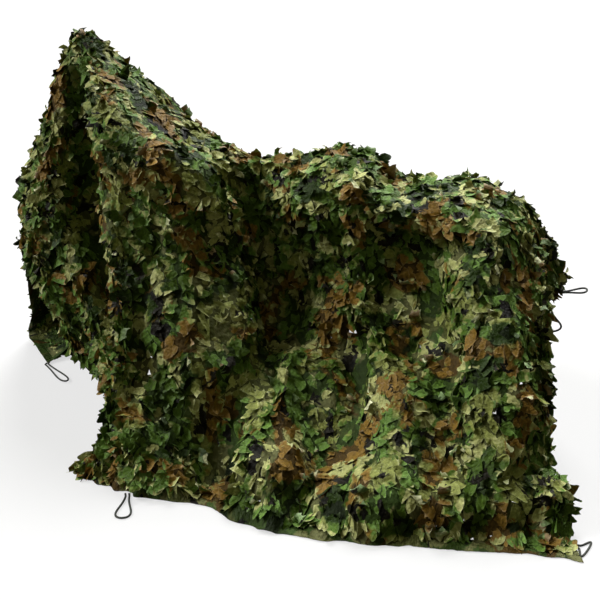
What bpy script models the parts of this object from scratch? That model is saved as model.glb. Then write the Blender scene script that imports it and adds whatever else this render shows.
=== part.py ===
"""Camouflage net, 3 m by 3.5 m, in the shape that it takes over a parked two-wheeler.

Metres, +Z up. X runs along the 3.5 m length, with the front at -X. Y runs across the net, with the
near side at -Y. Z is 0 on the floor that the long hems lie on.

The net is one sheet. Each point of it is given by its place on the flat cloth: reach, the metres
of cloth from the front hem, and span, the metres of cloth from the middle, negative on the near
side. NEAR_SECTIONS and FAR_SECTIONS say where the sheet hangs, and FOLDS what stands out from it
or sinks into it.
"""
import bpy
import numpy as np

# The cloth as it is cut and sewn
NET_LENGTH = 3.5
NET_WIDTH = 3.0
NET_THICKNESS = 0.010
BINDING_WIDTH = 0.035
BINDING_THICKNESS = 0.003
SEAM_GAP = 0.0020
LENGTH_CELLS = 42
WIDTH_CELLS = 32
NORMAL_STEP = 0.02

# The cord of the tie-down loops
CORD_DIAMETER = 0.007
CORD_BEVEL_LEVEL = 2
CORD_POINTS = 19
CORD_ROOT_GAP = 0.011
CORD_FLOOR_GAP = 0.0005
CORD_NECK = 0.9
LOOP_SWELL = 1.3

# The colours of the printed cloth, its binding and the cord, as linear values
NET_COLOUR = (0.055, 0.085, 0.025, 1.0)
BINDING_COLOUR = (0.035, 0.06, 0.018, 1.0)
CORD_COLOUR = (0.008, 0.009, 0.006, 1.0)

# Where the cloth lies on each line of the drape, counted from the ridge down to the long hem
LINE_SPANS = {"ridge": 0.0, "shoulder": 0.32, "waist": 0.72, "knee": 1.14, "hem": NET_WIDTH / 2}

# One row for each section across the net, front hem first. Each place is x, y out from the middle
# line, and z.
# reach      ridge                 shoulder              waist                 knee                  hem
NEAR_SECTIONS = (
    (0.00, (-1.27, 0.00, 0.55), (-1.13, 0.12, 0.45), (-0.86, 0.30, 0.22), (-0.54, 0.50, 0.08), (-0.60, 0.79, 0)),
    (0.40, (-1.14, 0.00, 0.92), (-1.03, 0.18, 0.81), (-0.88, 0.33, 0.53), (-0.55, 0.55, 0.19), (-0.54, 0.82, 0)),
    (0.70, (-1.02, 0.00, 1.20), (-0.96, 0.18, 1.06), (-0.87, 0.30, 0.70), (-0.55, 0.57, 0.27), (-0.47, 0.84, 0)),
    (0.92, (-0.89, 0.00, 1.45), (-0.84, 0.12, 1.25), (-0.76, 0.20, 0.82), (-0.50, 0.54, 0.36), (-0.40, 0.85, 0)),
    (1.15, (-0.73, 0.00, 1.34), (-0.67, 0.28, 1.20), (-0.57, 0.42, 0.83), (-0.45, 0.67, 0.36), (-0.31, 0.85, 0)),
    (1.40, (-0.52, 0.00, 1.17), (-0.47, 0.31, 1.06), (-0.38, 0.39, 0.75), (-0.27, 0.64, 0.35), (-0.19, 0.85, 0)),
    (1.67, (-0.31, 0.00, 1.04), (-0.26, 0.14, 0.89), (-0.17, 0.18, 0.55), (-0.07, 0.51, 0.27), (-0.03, 0.88, 0)),
    (1.95, (-0.07, 0.00, 1.02), (-0.04, 0.14, 0.87), (0.02, 0.15, 0.52), (0.11, 0.49, 0.25), (0.15, 0.92, 0)),
    (2.25, (0.18, 0.00, 1.06), (0.21, 0.24, 0.93), (0.27, 0.19, 0.54), (0.34, 0.55, 0.26), (0.37, 0.92, 0)),
    (2.55, (0.38, 0.00, 0.96), (0.43, 0.27, 0.88), (0.50, 0.26, 0.55), (0.56, 0.60, 0.28), (0.58, 0.89, 0)),
    (2.87, (0.66, 0.00, 0.96), (0.69, 0.22, 0.88), (0.74, 0.39, 0.61), (0.77, 0.63, 0.30), (0.77, 0.86, 0)),
    (3.17, (0.87, -0.03, 0.85), (0.89, 0.12, 0.76), (0.92, 0.32, 0.54), (0.96, 0.53, 0.27), (0.97, 0.81, 0)),
    (3.50, (1.00, -0.04, 0.60), (0.94, 0.12, 0.51), (1.00, 0.35, 0.36), (1.04, 0.50, 0.15), (1.13, 0.80, 0)),
)
# shoulder              waist                 knee                  hem
FAR_SECTIONS = (
    ((-1.34, 0.12, 0.42), (-1.43, 0.27, 0.14), (-1.40, 0.20, 0.01), (-1.19, 0.01, 0)),
    ((-1.13, 0.20, 0.82), (-1.16, 0.42, 0.46), (-1.14, 0.54, 0.12), (-1.04, 0.40, 0)),
    ((-0.98, 0.22, 1.06), (-0.94, 0.43, 0.66), (-0.94, 0.62, 0.26), (-0.90, 0.68, 0)),
    ((-0.86, 0.17, 1.24), (-0.78, 0.28, 0.82), (-0.79, 0.58, 0.34), (-0.78, 0.80, 0)),
    ((-0.70, 0.26, 1.20), (-0.63, 0.42, 0.82), (-0.64, 0.67, 0.35), (-0.64, 0.86, 0)),
    ((-0.50, 0.27, 1.05), (-0.46, 0.42, 0.76), (-0.46, 0.66, 0.34), (-0.47, 0.87, 0)),
    ((-0.29, 0.22, 0.94), (-0.28, 0.36, 0.69), (-0.29, 0.62, 0.32), (-0.30, 0.88, 0)),
    ((-0.05, 0.15, 0.91), (-0.06, 0.28, 0.64), (-0.09, 0.62, 0.30), (-0.11, 0.90, 0)),
    ((0.19, 0.19, 0.95), (0.17, 0.35, 0.68), (0.12, 0.66, 0.32), (0.09, 0.90, 0)),
    ((0.41, 0.22, 0.89), (0.39, 0.42, 0.66), (0.32, 0.68, 0.33), (0.28, 0.89, 0)),
    ((0.66, 0.23, 0.89), (0.61, 0.42, 0.66), (0.52, 0.64, 0.33), (0.47, 0.87, 0)),
    ((0.86, 0.16, 0.78), (0.77, 0.34, 0.56), (0.68, 0.56, 0.28), (0.62, 0.84, 0)),
    ((0.96, 0.13, 0.50), (0.87, 0.30, 0.38), (0.79, 0.52, 0.18), (0.73, 0.80, 0)),
)

# One row for each fold: where it starts and ends on the flat cloth, its width, and how far it
# stands out, negative for a crease that sinks in.
# name                reach, span       reach, span      width  height
FOLDS = (
    ("front lobe", (0.38, -0.20), (0.40, -0.75), 0.26, 0.06),
    ("screen crease", (0.84, -0.36), (0.88, -0.90), 0.26, -0.08),
    ("front skirt crease", (0.50, -0.85), (0.52, -1.05), 0.28, -0.02),
    ("handlebar lobe", (1.51, -0.34), (1.57, -1.05), 0.28, 0.08),
    ("handlebar crease", (1.24, -0.62), (1.25, -1.10), 0.17, -0.05),
    ("lobe crease", (1.32, -1.12), (1.72, -1.36), 0.20, -0.05),
    ("footwell valley", (1.84, -0.30), (1.94, -0.85), 0.30, -0.05),
    ("saddle ridge", (2.26, -0.72), (2.36, -0.84), 0.20, 0.09),
    ("seat crease", (2.45, -0.40), (2.74, -0.48), 0.20, -0.05),
    ("seat side crease", (2.56, -0.48), (2.52, -0.85), 0.22, -0.08),
    ("rear lobe", (2.86, -0.42), (2.88, -0.90), 0.28, 0.05),
    ("skirt ridge", (2.06, -0.86), (1.80, -1.32), 0.22, 0.07),
    ("skirt crease", (2.24, -1.00), (2.10, -1.36), 0.20, -0.07),
    ("long skirt ridge", (2.44, -0.98), (2.46, -1.32), 0.24, 0.06),
    ("rear skirt crease", (2.70, -0.85), (2.78, -1.22), 0.20, -0.07),
    ("rear skirt ridge", (3.00, -0.80), (3.04, -1.20), 0.22, 0.05),
    ("hem tuck", (2.60, -1.44), (3.05, -1.42), 0.13, -0.06),
    ("corner roll", (3.22, -1.29), (3.50, -1.27), 0.14, 0.05),
    ("corner tuck", (3.20, -1.41), (3.50, -1.39), 0.11, -0.045),
    ("hem wave", (1.22, -1.34), (1.22, -1.50), 0.26, 0.03),
    ("second hem wave", (1.62, -1.38), (1.62, -1.50), 0.20, -0.04),
    ("third hem wave", (1.95, -1.34), (1.95, -1.50), 0.22, 0.03),
    ("far screen crease", (0.92, 0.40), (0.93, 0.95), 0.20, -0.05),
    ("far handlebar lobe", (1.22, 0.60), (1.30, 1.20), 0.30, 0.07),
    ("far lobe crease", (1.52, 0.65), (1.55, 1.30), 0.22, -0.07),
    ("far second lobe", (1.72, 0.80), (1.72, 1.32), 0.22, 0.06),
    ("far valley", (1.88, 0.30), (1.92, 1.10), 0.30, -0.09),
    ("far skirt ridge", (2.15, 0.65), (2.15, 1.30), 0.26, 0.07),
    ("far skirt crease", (2.44, 0.60), (2.46, 1.35), 0.24, -0.07),
    ("far rear ridge", (2.74, 0.60), (2.76, 1.30), 0.26, 0.07),
    ("far rear crease", (3.02, 0.60), (3.04, 1.35), 0.22, -0.07),
    ("far tail ridge", (3.26, 0.80), (3.28, 1.30), 0.22, 0.05),
)

# One row for each loop: where it leaves the hem on the flat cloth, which way it lies, which way
# it is wide, its length and its width.
# name            reach, span             heading              side                 length  width
LOOPS = (
    ("front_loop", (0.0, NET_WIDTH / 2), (0.81, -0.59, 0.0), (0.59, 0.81, 0.0), 0.220, 0.028),
    ("near_loop", (1.06, -NET_WIDTH / 2), (0.33, -0.94, 0.0), (0.94, 0.33, 0.0), 0.130, 0.042),
    ("corner_loop", (NET_LENGTH, -1.42), (0.95, -0.31, 0.0), (0.31, 0.95, 0.0), 0.030, 0.080),
    ("rear_loop_upper", (NET_LENGTH, -0.10), (0.98, 0.0, 0.20), (0.0, 1.0, 0.0), 0.085, 0.045),
    ("rear_loop_lower", (NET_LENGTH, -0.24), (0.30, 0.0, -0.95), (0.95, 0.0, 0.30), 0.080, 0.045),
)


def smooth_weights(knots, places):
    """Weights of the knots at each place: a cubic through the knots with averaged slopes.

    Row i holds what each knot counts for at places[i], so weights @ values is the curve.
    """
    knots = np.asarray(knots, float)
    places = np.clip(places, knots[0], knots[-1])
    count = len(knots)
    slopes = np.zeros((count, count))
    chords = np.diff(knots)
    for k in range(count):
        before, after = max(k - 1, 0), min(k + 1, count - 1)
        slopes[k, after] += 1.0 / (knots[after] - knots[before])
        slopes[k, before] -= 1.0 / (knots[after] - knots[before])
    k = np.clip(np.searchsorted(knots, places, side="right") - 1, 0, count - 2)
    h = chords[k]
    t = (places - knots[k]) / h
    unit = np.eye(count)
    return ((2 * t**3 - 3 * t**2 + 1)[:, None] * unit[k]
            + ((t**3 - 2 * t**2 + t) * h)[:, None] * slopes[k]
            + (3 * t**2 - 2 * t**3)[:, None] * unit[k + 1]
            + ((t**3 - t**2) * h)[:, None] * slopes[k + 1])


def section_places():
    """Places of the drape's lines as an array (section, line, xyz), far hem last."""
    near = np.array([[place for place in row[1:]] for row in NEAR_SECTIONS], float)
    far = np.array(FAR_SECTIONS, float)
    near[:, :, 1] *= -1.0
    return np.concatenate([near[:, ::-1], far], axis=1)


def hung_sheet(reach, span):
    """The sheet without its folds: smooth curves both ways through the drape's lines."""
    spans = list(LINE_SPANS.values())
    lines = np.array([-s for s in spans[::-1]] + spans[1:])
    along = smooth_weights([row[0] for row in NEAR_SECTIONS], reach)
    across = smooth_weights(lines, span)
    return np.einsum("ik,kjc,lj->ilc", along, section_places(), across)


def fold_heights(reach, span):
    """Height of the folds at each place of the flat cloth: a bell across, faded at both ends."""
    reach, span = np.meshgrid(reach, span, indexing="ij")
    height = np.zeros(reach.shape)
    for _name, start, end, width, size in FOLDS:
        line = np.subtract(end, start)
        length = np.hypot(*line)
        along = ((reach - start[0]) * line[0] + (span - start[1]) * line[1]) / length
        aside = ((reach - start[0]) * line[1] - (span - start[1]) * line[0]) / length
        past = np.maximum(0.0, np.maximum(-along, along - length))
        height += size * np.exp(-(aside**2 + past**2) / (width / 2)**2)
    return height


def face_directions(surface, reach, span):
    """Unit normals of a surface of reach and span: the cross product of its two slopes."""
    half = NET_WIDTH / 2
    before = np.maximum(reach - NORMAL_STEP, 0.0)
    after = np.minimum(reach + NORMAL_STEP, NET_LENGTH)
    nearer = np.maximum(span - NORMAL_STEP, -half)
    farther = np.minimum(span + NORMAL_STEP, half)
    along = surface(after, span) - surface(before, span)
    across = surface(reach, farther) - surface(reach, nearer)
    normals = np.cross(along, across)
    return normals / np.linalg.norm(normals, axis=2, keepdims=True)


def folded_sheet(reach, span):
    """The hung sheet with each fold moved out along its normals, and nothing under the floor."""
    outward = face_directions(hung_sheet, reach, span)
    places = hung_sheet(reach, span) + outward * fold_heights(reach, span)[:, :, None]
    places[:, :, 2] = np.maximum(0.0, places[:, :, 2])
    return places


def drape(reach, span, thickness):
    """The under face and the upper face of the cloth, lifted where the net would go under the floor."""
    under = folded_sheet(reach, span)
    outward = face_directions(folded_sheet, reach, span)
    under[:, :, 2] += np.maximum(0.0, -(under + outward * NET_THICKNESS)[:, :, 2])
    return under, under + outward * np.asarray(thickness)[..., None]


def cloth_samples():
    """Reach and span of the net's own grid lines, which its binding shares."""
    reach = np.linspace(BINDING_WIDTH, NET_LENGTH - BINDING_WIDTH, LENGTH_CELLS + 1)
    span = np.linspace(BINDING_WIDTH - NET_WIDTH / 2, NET_WIDTH / 2 - BINDING_WIDTH, WIDTH_CELLS + 1)
    return reach, span


def sheet_layout():
    """Name, reach lines, span lines and thickness of the net and its four binding strips."""
    reach, span = cloth_samples()
    full_reach = np.concatenate([[0.0], reach, [NET_LENGTH]])
    net_thickness = np.full((reach.size, span.size), BINDING_THICKNESS)
    net_thickness[1:-1, 1:-1] = NET_THICKNESS
    half = NET_WIDTH / 2
    strip = BINDING_WIDTH - SEAM_GAP
    return (
        ("net", reach, span, net_thickness),
        ("near_binding", full_reach, np.array([-half, strip - half]), BINDING_THICKNESS),
        ("far_binding", full_reach, np.array([half - strip, half]), BINDING_THICKNESS),
        ("front_binding", np.array([0.0, strip]), span, BINDING_THICKNESS),
        ("rear_binding", np.array([NET_LENGTH - strip, NET_LENGTH]), span, BINDING_THICKNESS),
    )


def box_middle(sheets):
    """Middle of the floor space that the sheets cover, which becomes the origin."""
    points = np.concatenate([np.concatenate(faces).reshape(-1, 3) for faces in sheets])
    middle = (points.min(axis=0) + points.max(axis=0)) / 2
    return np.array([middle[0], middle[1], 0.0])


def make_material(name, colour, roughness):
    """A plain woven or corded finish."""
    material = bpy.data.materials.new(name)
    material.use_nodes = True
    shader = material.node_tree.nodes["Principled BSDF"]
    shader.inputs["Base Color"].default_value = colour
    shader.inputs["Roughness"].default_value = roughness
    return material


def add_object(name, data, material, collection):
    data.materials.append(material)
    piece = bpy.data.objects.new(name, data)
    collection.objects.link(piece)
    return piece


def closed_sheet(name, under, upper):
    """A closed mesh between two grids of points: two faces of triangles and a wall round the edge."""
    rows, columns = under.shape[:2]
    low = np.arange(rows * columns).reshape(rows, columns)
    top = low + low.size
    a, b, c, d = (top[:-1, :-1], top[1:, :-1], top[1:, 1:], top[:-1, 1:])
    upper_faces = np.stack([a, b, c, a, c, d], axis=-1).reshape(-1, 3)
    under_faces = upper_faces[:, ::-1] - low.size
    edge = np.concatenate([low[:-1, 0], low[-1, :-1], low[:0:-1, -1], low[0, :0:-1]])
    ahead = np.roll(edge, -1)
    walls = np.stack([edge, ahead, ahead + low.size, edge, ahead + low.size, edge + low.size], axis=-1)
    faces = np.concatenate([upper_faces, under_faces, walls.reshape(-1, 3)])
    mesh = bpy.data.meshes.new(name)
    mesh.from_pydata(np.concatenate([under, upper]).reshape(-1, 3).tolist(), [], faces.tolist())
    mesh.shade_smooth()
    return mesh


def loop_route(root, heading, side, length, width):
    """A teardrop from the hem and back: out by a sine, aside by a cosine that opens far out.

    The two strands start CORD_NECK diameters to each side, and LOOP_SWELL makes the widest place,
    which lies partway along the cosine, as wide as the table says.
    """
    turn = np.linspace(0.0, np.pi, CORD_POINTS)
    out = length * np.sin(turn)
    aside = np.cos(turn) * (CORD_NECK * CORD_DIAMETER + LOOP_SWELL * width * np.sin(turn)**2)
    heading = np.asarray(heading) / np.linalg.norm(heading)
    side = np.asarray(side) / np.linalg.norm(side)
    route = root + out[:, None] * heading + aside[:, None] * side
    route[:, 2] = np.maximum(route[:, 2], CORD_DIAMETER / 2 + CORD_FLOOR_GAP)
    return route


def loop_root(reach, span):
    """Where a loop's cord leaves the hem: beyond the binding's edge by its own radius and a gap."""
    reach, span = np.array([reach]), np.array([span])
    inner_reach = np.clip(reach, BINDING_WIDTH, NET_LENGTH - BINDING_WIDTH)
    inner_span = np.clip(span, BINDING_WIDTH - NET_WIDTH / 2, NET_WIDTH / 2 - BINDING_WIDTH)
    under, upper = drape(reach, span, BINDING_THICKNESS)
    outward = under[0, 0] - drape(inner_reach, inner_span, BINDING_THICKNESS)[0][0, 0]
    if under[0, 0, 2] < CORD_DIAMETER:
        outward[2] = 0.0
    return (under + upper)[0, 0] / 2 + outward / np.linalg.norm(outward) * CORD_ROOT_GAP


def cord_curve(name, route):
    """A round cord with closed ends along a row of points."""
    curve = bpy.data.curves.new(name, "CURVE")
    curve.dimensions = "3D"
    curve.bevel_depth = CORD_DIAMETER / 2
    curve.bevel_resolution = CORD_BEVEL_LEVEL
    curve.use_fill_caps = True
    spline = curve.splines.new("POLY")
    spline.points.add(len(route) - 1)
    spline.points.foreach_set("co", np.c_[route, np.ones(len(route))].ravel())
    return curve


def build():
    for leftover in list(bpy.data.objects):
        bpy.data.objects.remove(leftover)
    collection = bpy.data.collections.new("camouflage_net")
    bpy.context.scene.collection.children.link(collection)
    finishes = {
        "net": make_material("printed_net", NET_COLOUR, 0.6),
        "binding": make_material("printed_binding", BINDING_COLOUR, 0.55),
        "cord": make_material("black_cord", CORD_COLOUR, 0.5),
    }
    layout = sheet_layout()
    sheets = [drape(reach, span, thickness) for _name, reach, span, thickness in layout]
    middle = box_middle(sheets)
    for (name, _reach, _span, _thickness), (under, upper) in zip(layout, sheets):
        finish = finishes["net" if name == "net" else "binding"]
        add_object(name, closed_sheet(name, under - middle, upper - middle), finish, collection)
    for name, (reach, span), heading, side, length, width in LOOPS:
        route = loop_route(loop_root(reach, span), heading, side, length, width)
        add_object(name, cord_curve(name, route - middle), finishes["cord"], collection)


build()
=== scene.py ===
"""Camouflage net draped over a hidden two-wheeler: cut cloth, curled leaves, binding and loops.

Metres, +Z up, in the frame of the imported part. Each place on the net is given by its place on the
flat cloth: reach, the metres of cloth from the front hem, and span, the metres of cloth from the
middle, negative on the near side. RIDGE, NEAR_SECTIONS, FAR_SECTIONS and FOLDS are the part's own
drape, and the crinkles, the cuts and the leaves are added to it here.
"""
import bpy
import numpy as np
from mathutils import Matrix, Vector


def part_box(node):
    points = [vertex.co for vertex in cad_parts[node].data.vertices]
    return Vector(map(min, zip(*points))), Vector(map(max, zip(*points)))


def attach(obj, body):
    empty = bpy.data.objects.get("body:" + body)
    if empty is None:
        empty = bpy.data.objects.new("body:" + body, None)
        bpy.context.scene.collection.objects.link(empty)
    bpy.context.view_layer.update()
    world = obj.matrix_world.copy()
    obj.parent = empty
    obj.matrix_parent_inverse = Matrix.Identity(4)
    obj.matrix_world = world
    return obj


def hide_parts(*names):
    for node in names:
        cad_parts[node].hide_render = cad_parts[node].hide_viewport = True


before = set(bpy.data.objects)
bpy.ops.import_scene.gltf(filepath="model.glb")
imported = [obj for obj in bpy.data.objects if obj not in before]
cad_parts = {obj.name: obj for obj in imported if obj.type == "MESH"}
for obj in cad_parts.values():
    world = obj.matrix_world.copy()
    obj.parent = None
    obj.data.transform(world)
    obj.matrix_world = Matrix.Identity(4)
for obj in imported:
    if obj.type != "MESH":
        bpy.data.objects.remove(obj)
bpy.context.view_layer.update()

# ---- the cloth as it is cut and sewn
NET_LENGTH = 3.5
NET_WIDTH = 3.0
HALF_WIDTH = NET_WIDTH / 2
NET_THICKNESS = 0.010
BINDING_WIDTH = 0.035
BINDING_THICKNESS = 0.003
# The net inside its binding, and the cells that the part's own net has each way
INNER_LENGTH = NET_LENGTH - 2 * BINDING_WIDTH
INNER_WIDTH = NET_WIDTH - 2 * BINDING_WIDTH
CAD_LENGTH_CELLS = 42
CAD_WIDTH_CELLS = 32
# How far apart on the flat cloth the places are that a slope is taken between
NORMAL_STEP = 0.02

# Where the cloth lies on each line of the drape, counted from the ridge down to the long hem
LINE_SPANS = {"ridge": 0.0, "shoulder": 0.32, "waist": 0.72, "knee": 1.14, "hem": HALF_WIDTH}

# One row for each section across the net, front hem first: its reach, and the ridge's x, y, z
RIDGE = (
    (0.00, -1.27, 0.00, 0.55),
    (0.40, -1.14, 0.00, 0.92),
    (0.70, -1.02, 0.00, 1.20),
    (0.92, -0.89, 0.00, 1.45),
    (1.15, -0.73, 0.00, 1.34),
    (1.40, -0.52, 0.00, 1.17),
    (1.67, -0.31, 0.00, 1.04),
    (1.95, -0.07, 0.00, 1.02),
    (2.25, 0.18, 0.00, 1.06),
    (2.55, 0.38, 0.00, 0.96),
    (2.87, 0.66, 0.00, 0.96),
    (3.17, 0.87, 0.03, 0.85),
    (3.50, 1.00, 0.04, 0.60),
)
# The two sides of the same sections. Each place is x, y out from the middle line, and z.
# shoulder              waist                 knee                  hem
NEAR_SECTIONS = (
    ((-1.13, 0.12, 0.45), (-0.86, 0.30, 0.22), (-0.54, 0.50, 0.08), (-0.60, 0.79, 0)),
    ((-1.03, 0.18, 0.81), (-0.88, 0.33, 0.53), (-0.55, 0.55, 0.19), (-0.54, 0.82, 0)),
    ((-0.96, 0.18, 1.06), (-0.87, 0.30, 0.70), (-0.55, 0.57, 0.27), (-0.47, 0.84, 0)),
    ((-0.84, 0.12, 1.25), (-0.76, 0.20, 0.82), (-0.50, 0.54, 0.36), (-0.40, 0.85, 0)),
    ((-0.67, 0.28, 1.20), (-0.57, 0.42, 0.83), (-0.45, 0.67, 0.36), (-0.31, 0.85, 0)),
    ((-0.47, 0.31, 1.06), (-0.38, 0.39, 0.75), (-0.27, 0.64, 0.35), (-0.19, 0.85, 0)),
    ((-0.26, 0.14, 0.89), (-0.17, 0.18, 0.55), (-0.07, 0.51, 0.27), (-0.03, 0.88, 0)),
    ((-0.04, 0.14, 0.87), (0.02, 0.15, 0.52), (0.11, 0.49, 0.25), (0.15, 0.92, 0)),
    ((0.21, 0.24, 0.93), (0.27, 0.19, 0.54), (0.34, 0.55, 0.26), (0.37, 0.92, 0)),
    ((0.43, 0.27, 0.88), (0.50, 0.26, 0.55), (0.56, 0.60, 0.28), (0.58, 0.89, 0)),
    ((0.69, 0.22, 0.88), (0.74, 0.39, 0.61), (0.77, 0.63, 0.30), (0.77, 0.86, 0)),
    ((0.89, 0.12, 0.76), (0.92, 0.32, 0.54), (0.96, 0.53, 0.27), (0.97, 0.81, 0)),
    ((0.94, 0.12, 0.51), (1.00, 0.35, 0.36), (1.04, 0.50, 0.15), (1.13, 0.80, 0)),
)
# shoulder              waist                 knee                  hem
FAR_SECTIONS = (
    ((-1.34, 0.12, 0.42), (-1.43, 0.27, 0.14), (-1.40, 0.20, 0.01), (-1.19, 0.01, 0)),
    ((-1.13, 0.20, 0.82), (-1.16, 0.42, 0.46), (-1.14, 0.54, 0.12), (-1.04, 0.40, 0)),
    ((-0.98, 0.22, 1.06), (-0.94, 0.43, 0.66), (-0.94, 0.62, 0.26), (-0.90, 0.68, 0)),
    ((-0.86, 0.17, 1.24), (-0.78, 0.28, 0.82), (-0.79, 0.58, 0.34), (-0.78, 0.80, 0)),
    ((-0.70, 0.26, 1.20), (-0.63, 0.42, 0.82), (-0.64, 0.67, 0.35), (-0.64, 0.86, 0)),
    ((-0.50, 0.27, 1.05), (-0.46, 0.42, 0.76), (-0.46, 0.66, 0.34), (-0.47, 0.87, 0)),
    ((-0.29, 0.22, 0.94), (-0.28, 0.36, 0.69), (-0.29, 0.62, 0.32), (-0.30, 0.88, 0)),
    ((-0.05, 0.15, 0.91), (-0.06, 0.28, 0.64), (-0.09, 0.62, 0.30), (-0.11, 0.90, 0)),
    ((0.19, 0.19, 0.95), (0.17, 0.35, 0.68), (0.12, 0.66, 0.32), (0.09, 0.90, 0)),
    ((0.41, 0.22, 0.89), (0.39, 0.42, 0.66), (0.32, 0.68, 0.33), (0.28, 0.89, 0)),
    ((0.66, 0.23, 0.89), (0.61, 0.42, 0.66), (0.52, 0.64, 0.33), (0.47, 0.87, 0)),
    ((0.86, 0.16, 0.78), (0.77, 0.34, 0.56), (0.68, 0.56, 0.28), (0.62, 0.84, 0)),
    ((0.96, 0.13, 0.50), (0.87, 0.30, 0.38), (0.79, 0.52, 0.18), (0.73, 0.80, 0)),
)

# One row for each fold: where it starts and ends on the flat cloth, its width, and how far it
# stands out, negative for a crease that sinks in.
# name                reach, span       reach, span      width  height
FOLDS = (
    ("front lobe", (0.38, -0.20), (0.40, -0.75), 0.26, 0.06),
    ("screen crease", (0.84, -0.36), (0.88, -0.90), 0.26, -0.08),
    ("front skirt crease", (0.50, -0.85), (0.52, -1.05), 0.28, -0.02),
    ("handlebar lobe", (1.51, -0.34), (1.57, -1.05), 0.28, 0.08),
    ("handlebar crease", (1.24, -0.62), (1.25, -1.10), 0.17, -0.05),
    ("lobe crease", (1.32, -1.12), (1.72, -1.36), 0.20, -0.05),
    ("footwell valley", (1.84, -0.30), (1.94, -0.85), 0.30, -0.05),
    ("saddle ridge", (2.26, -0.72), (2.36, -0.84), 0.20, 0.09),
    ("seat crease", (2.45, -0.40), (2.74, -0.48), 0.20, -0.05),
    ("seat side crease", (2.56, -0.48), (2.52, -0.85), 0.22, -0.08),
    ("rear lobe", (2.86, -0.42), (2.88, -0.90), 0.28, 0.05),
    ("skirt ridge", (2.06, -0.86), (1.80, -1.32), 0.22, 0.07),
    ("skirt crease", (2.24, -1.00), (2.10, -1.36), 0.20, -0.07),
    ("long skirt ridge", (2.44, -0.98), (2.46, -1.32), 0.24, 0.06),
    ("rear skirt crease", (2.70, -0.85), (2.78, -1.22), 0.20, -0.07),
    ("rear skirt ridge", (3.00, -0.80), (3.04, -1.20), 0.22, 0.05),
    ("hem tuck", (2.60, -1.44), (3.05, -1.42), 0.13, -0.06),
    ("corner roll", (3.22, -1.29), (3.50, -1.27), 0.14, 0.05),
    ("corner tuck", (3.20, -1.41), (3.50, -1.39), 0.11, -0.045),
    ("hem wave", (1.22, -1.34), (1.22, -1.50), 0.26, 0.03),
    ("second hem wave", (1.62, -1.38), (1.62, -1.50), 0.20, -0.04),
    ("third hem wave", (1.95, -1.34), (1.95, -1.50), 0.22, 0.03),
    ("far screen crease", (0.92, 0.40), (0.93, 0.95), 0.20, -0.05),
    ("far handlebar lobe", (1.22, 0.60), (1.30, 1.20), 0.30, 0.07),
    ("far lobe crease", (1.52, 0.65), (1.55, 1.30), 0.22, -0.07),
    ("far second lobe", (1.72, 0.80), (1.72, 1.32), 0.22, 0.06),
    ("far valley", (1.88, 0.30), (1.92, 1.10), 0.30, -0.09),
    ("far skirt ridge", (2.15, 0.65), (2.15, 1.30), 0.26, 0.07),
    ("far skirt crease", (2.44, 0.60), (2.46, 1.35), 0.24, -0.07),
    ("far rear ridge", (2.74, 0.60), (2.76, 1.30), 0.26, 0.07),
    ("far rear crease", (3.02, 0.60), (3.04, 1.35), 0.22, -0.07),
    ("far tail ridge", (3.26, 0.80), (3.28, 1.30), 0.22, 0.05),
)

# Small folds, shallower than 40 mm, which only the cloth you see has
SMALL_FOLDS = (
    ("groove head", (0.84, -0.20), (0.86, -0.44), 0.20, 0.039),
    ("screen groove", (0.91, -0.56), (0.90, -0.98), 0.14, -0.039),
    ("groove rim", (1.04, -0.36), (1.06, -0.98), 0.12, 0.034),
    ("wheel hollow", (0.63, -0.48), (0.54, -0.78), 0.14, -0.035),
    ("slim crease", (1.42, -0.46), (1.20, -1.20), 0.075, -0.032),
    ("lobe rim", (1.63, -0.22), (1.66, -0.92), 0.18, 0.039),
    ("lobe wall", (1.80, -0.20), (1.83, -0.90), 0.14, -0.039),
    ("footwell fold", (2.08, -0.44), (2.18, -0.60), 0.15, -0.030),
    ("saddle spot", (2.04, -0.35), (2.13, -0.40), 0.12, 0.038),
    ("valley foot", (1.96, -0.90), (2.34, -0.90), 0.12, -0.039),
    ("side fill", (2.49, -0.64), (2.49, -0.80), 0.14, 0.034),
    ("skirt fill", (2.16, -1.06), (2.05, -1.32), 0.16, 0.036),
    ("rear flare", (2.78, -1.06), (3.06, -1.05), 0.16, 0.034),
    ("seat fold", (2.38, -0.36), (2.42, -0.62), 0.14, -0.032),
    ("groove bank", (0.79, -0.30), (0.77, -0.82), 0.12, 0.039),
    ("rear draw-in", (3.50, -1.18), (3.50, -0.62), 0.30, -0.038),
    ("upper rear draw-in", (3.30, -0.06), (3.40, -0.10), 0.24, -0.030),
    ("corner puff", (3.36, -1.37), (3.52, -1.36), 0.12, 0.036),
    ("first hem roll", (1.84, -1.365), (2.26, -1.365), 0.14, 0.038),
    ("second hem roll", (2.36, -1.40), (2.56, -1.40), 0.12, 0.030),
    ("third hem roll", (2.76, -1.37), (3.06, -1.37), 0.14, 0.038),
    ("corner crease", (3.00, -1.30), (3.30, -1.21), 0.10, -0.038),
    ("hem puff", (2.67, -1.37), (2.68, -1.44), 0.13, 0.039),
    ("lobe head", (1.52, -0.34), (1.54, -0.48), 0.15, 0.039),
    ("skirt bend", (1.36, -1.24), (1.56, -1.42), 0.12, -0.030),
)

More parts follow.
